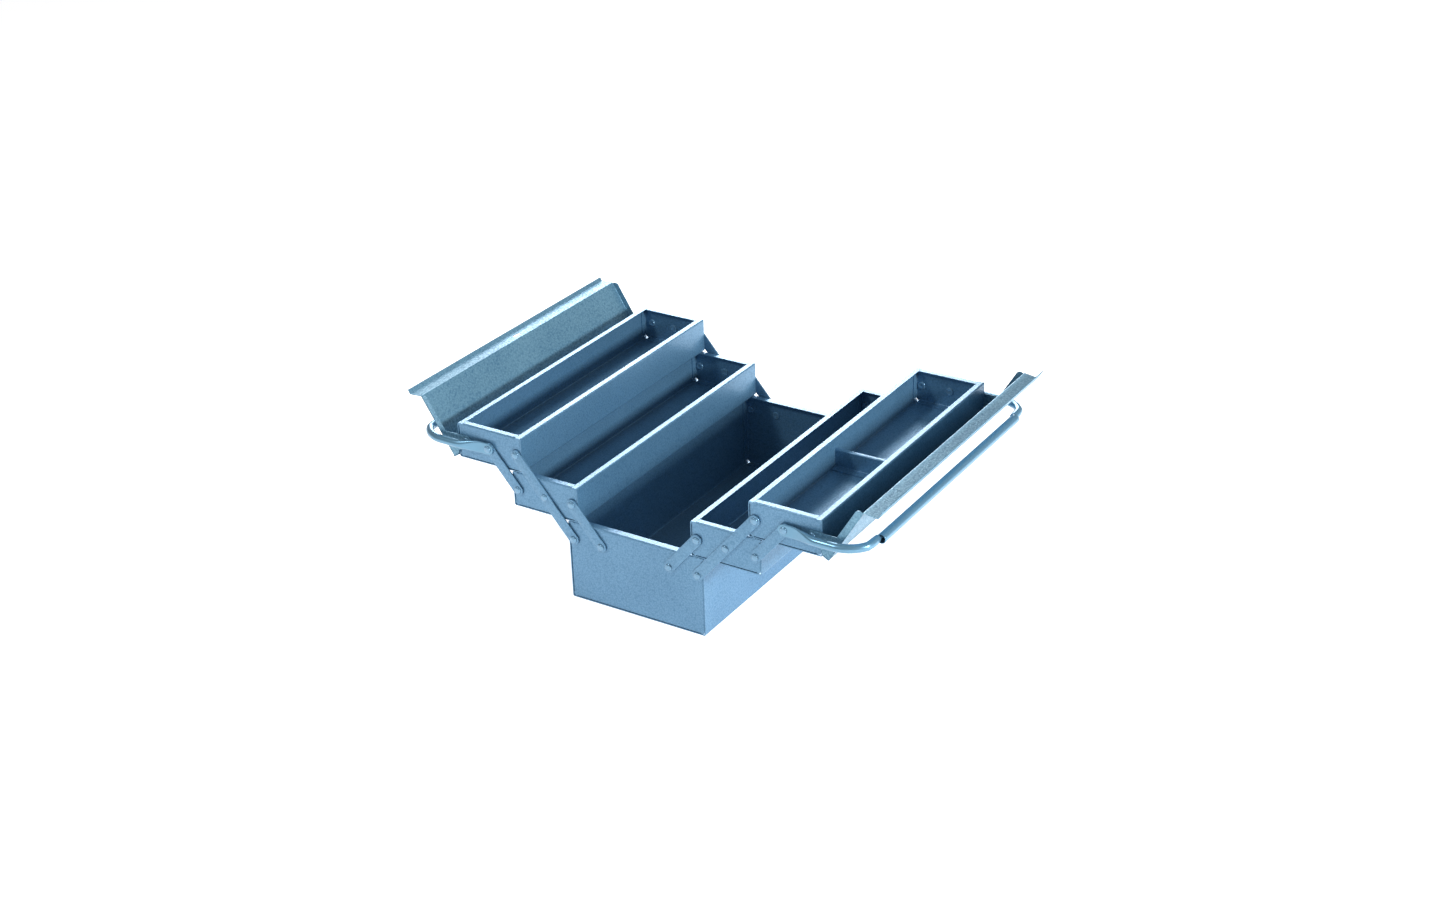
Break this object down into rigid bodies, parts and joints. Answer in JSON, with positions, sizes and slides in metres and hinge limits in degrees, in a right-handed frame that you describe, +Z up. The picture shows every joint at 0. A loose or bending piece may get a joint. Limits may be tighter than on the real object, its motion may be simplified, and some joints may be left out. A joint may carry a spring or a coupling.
{
  "type": "cantilever toolbox",
  "caption": "Cantilever steel toolbox opened out: base box, stepped trays on riveted link arms, swing-out lids and tubular bail handles, in hammered blue-grey paint.",
  "frame": {"origin": "centre of the base's underside, on the floor", "axes": "+X across the box towards the right-hand trays, +Y along the box, +Z up"},
  "size_m": [0.6895, 0.4568, 0.2413],
  "materials": {
    "body": "hammered blue-grey paint, satin",
    "links": "hammered blue-grey paint, satin",
    "lids": "hammered blue-green paint, satin",
    "handles": "smooth blue paint, semi-gloss",
    "rivets": "painted steel rivets"
  },
  "bodies": {
    "base": {"base_tray": "body", "rivet_base_outer_left_front": "rivets", "rivet_base_outer_left_rear": "rivets", "rivet_base_inner_left_front": "rivets", "rivet_base_inner_left_rear": "rivets", "rivet_base_outer_right_front": "rivets", "rivet_base_outer_right_rear": "rivets", "rivet_base_inner_right_front": "rivets", "rivet_base_inner_right_rear": "rivets"},
    "long_arms_left": {"long_arm_left_front": "links", "long_arm_left_rear": "links"},
    "mid_tray_left": {"mid_tray_left": "body", "rivet_mid_outer_left_front": "rivets", "rivet_mid_outer_left_rear": "rivets", "rivet_mid_middle_left_front": "rivets", "rivet_mid_middle_left_rear": "rivets", "rivet_mid_inner_left_front": "rivets", "rivet_mid_inner_left_rear": "rivets"},
    "top_tray_left": {"top_tray_left": "body", "rivet_top_inner_left_front": "rivets", "rivet_top_inner_left_rear": "rivets", "rivet_top_outer_left_front": "rivets", "rivet_top_outer_left_rear": "rivets", "rivet_lid_left_front": "rivets", "rivet_lid_left_rear": "rivets"},
    "lower_arms_left": {"lower_arm_left_front": "links", "lower_arm_left_rear": "links"},
    "upper_arms_left": {"upper_arm_left_front": "links", "upper_arm_left_rear": "links"},
    "lid_left": {"lid_left": "lids", "lid_cheek_left_front": "lids", "lid_cheek_left_rear": "lids"},
    "handle_left": {"handle_left": "handles", "grip_left": "handles"},
    "long_arms_right": {"long_arm_right_front": "links", "long_arm_right_rear": "links"},
    "mid_tray_right": {"mid_tray_right": "body", "rivet_mid_outer_right_front": "rivets", "rivet_mid_outer_right_rear": "rivets", "rivet_mid_middle_right_front": "rivets", "rivet_mid_middle_right_rear": "rivets", "rivet_mid_inner_right_front": "rivets", "rivet_mid_inner_right_rear": "rivets"},
    "top_tray_right": {"top_tray_right": "body", "rivet_top_inner_right_front": "rivets", "rivet_top_inner_right_rear": "rivets", "rivet_top_outer_right_front": "rivets", "rivet_top_outer_right_rear": "rivets", "rivet_lid_right_front": "rivets", "rivet_lid_right_rear": "rivets", "divider_top_right": "body"},
    "lower_arms_right": {"lower_arm_right_front": "links", "lower_arm_right_rear": "links"},
    "upper_arms_right": {"upper_arm_right_front": "links", "upper_arm_right_rear": "links"},
    "lid_right": {"lid_right": "lids", "lid_cheek_right_front": "lids", "lid_cheek_right_rear": "lids"},
    "handle_right": {"handle_right": "handles", "grip_right": "handles"}
  },
  "joints": [
    {"name": "left_fold", "type": "hinge", "parent": "base", "child": "long_arms_left", "pos_m": [-0.092, 0, 0.085], "axis": [0, 1, 0], "range_deg": [0, 80.76]},
    {"name": "left_mid_level", "type": "hinge", "parent": "long_arms_left", "child": "mid_tray_left", "pos_m": [-0.1335, 0, 0.1338], "axis": [0, 1, 0], "range_deg": [-80.86, 0]},
    {"name": "left_top_level", "type": "hinge", "parent": "long_arms_left", "child": "top_tray_left", "pos_m": [-0.175, 0, 0.1826], "axis": [0, 1, 0], "range_deg": [-80.86, 0]},
    {"name": "left_lower_swing", "type": "hinge", "parent": "base", "child": "lower_arms_left", "pos_m": [-0.0505, 0, 0.085], "axis": [0, 1, 0], "range_deg": [0, 80.86]},
    {"name": "left_upper_swing", "type": "hinge", "parent": "mid_tray_left", "child": "upper_arms_left", "pos_m": [-0.175, 0, 0.1338], "axis": [0, 1, 0], "range_deg": [0, 80.86]},
    {"name": "left_lid", "type": "hinge", "parent": "top_tray_left", "child": "lid_left", "pos_m": [-0.2532, 0, 0.184], "axis": [0, 1, 0], "range_deg": [0, 121.5]},
    {"name": "left_handle", "type": "hinge", "parent": "top_tray_left", "child": "handle_left", "pos_m": [-0.2165, 0, 0.1826], "axis": [0, 1, 0], "range_deg": [0, 113.92]},
    {"name": "right_fold", "type": "hinge", "parent": "base", "child": "long_arms_right", "pos_m": [0.092, 0, 0.085], "axis": [0, -1, 0], "range_deg": [0, 80.76]},
    {"name": "right_mid_level", "type": "hinge", "parent": "long_arms_right", "child": "mid_tray_right", "pos_m": [0.1335, 0, 0.1338], "axis": [0, -1, 0], "range_deg": [-80.86, 0]},
    {"name": "right_top_level", "type": "hinge", "parent": "long_arms_right", "child": "top_tray_right", "pos_m": [0.175, 0, 0.1826], "axis": [0, -1, 0], "range_deg": [-80.86, 0]},
    {"name": "right_lower_swing", "type": "hinge", "parent": "base", "child": "lower_arms_right", "pos_m": [0.0505, 0, 0.085], "axis": [0, -1, 0], "range_deg": [0, 80.86]},
    {"name": "right_upper_swing", "type": "hinge", "parent": "mid_tray_right", "child": "upper_arms_right", "pos_m": [0.175, 0, 0.1338], "axis": [0, -1, 0], "range_deg": [0, 80.86]},
    {"name": "right_lid", "type": "hinge", "parent": "top_tray_right", "child": "lid_right", "pos_m": [0.2532, 0, 0.184], "axis": [0, -1, 0], "range_deg": [0, 121.5]},
    {"name": "right_handle", "type": "hinge", "parent": "top_tray_right", "child": "handle_right", "pos_m": [0.2165, 0, 0.1826], "axis": [0, -1, 0], "range_deg": [0, 113.92]}
  ],
  "couplings": [
    {"joint": "left_mid_level", "follows": "left_fold", "ratio": -1},
    {"joint": "left_top_level", "follows": "left_fold", "ratio": -1},
    {"joint": "left_lower_swing", "follows": "left_fold", "ratio": 1},
    {"joint": "left_upper_swing", "follows": "left_fold", "ratio": 1},
    {"joint": "left_handle", "follows": "left_lid", "ratio": 0.9368},
    {"joint": "right_mid_level", "follows": "right_fold", "ratio": -1},
    {"joint": "right_top_level", "follows": "right_fold", "ratio": -1},
    {"joint": "right_lower_swing", "follows": "right_fold", "ratio": 1},
    {"joint": "right_upper_swing", "follows": "right_fold", "ratio": 1},
    {"joint": "right_handle", "follows": "right_lid", "ratio": 0.9368}
  ]
}
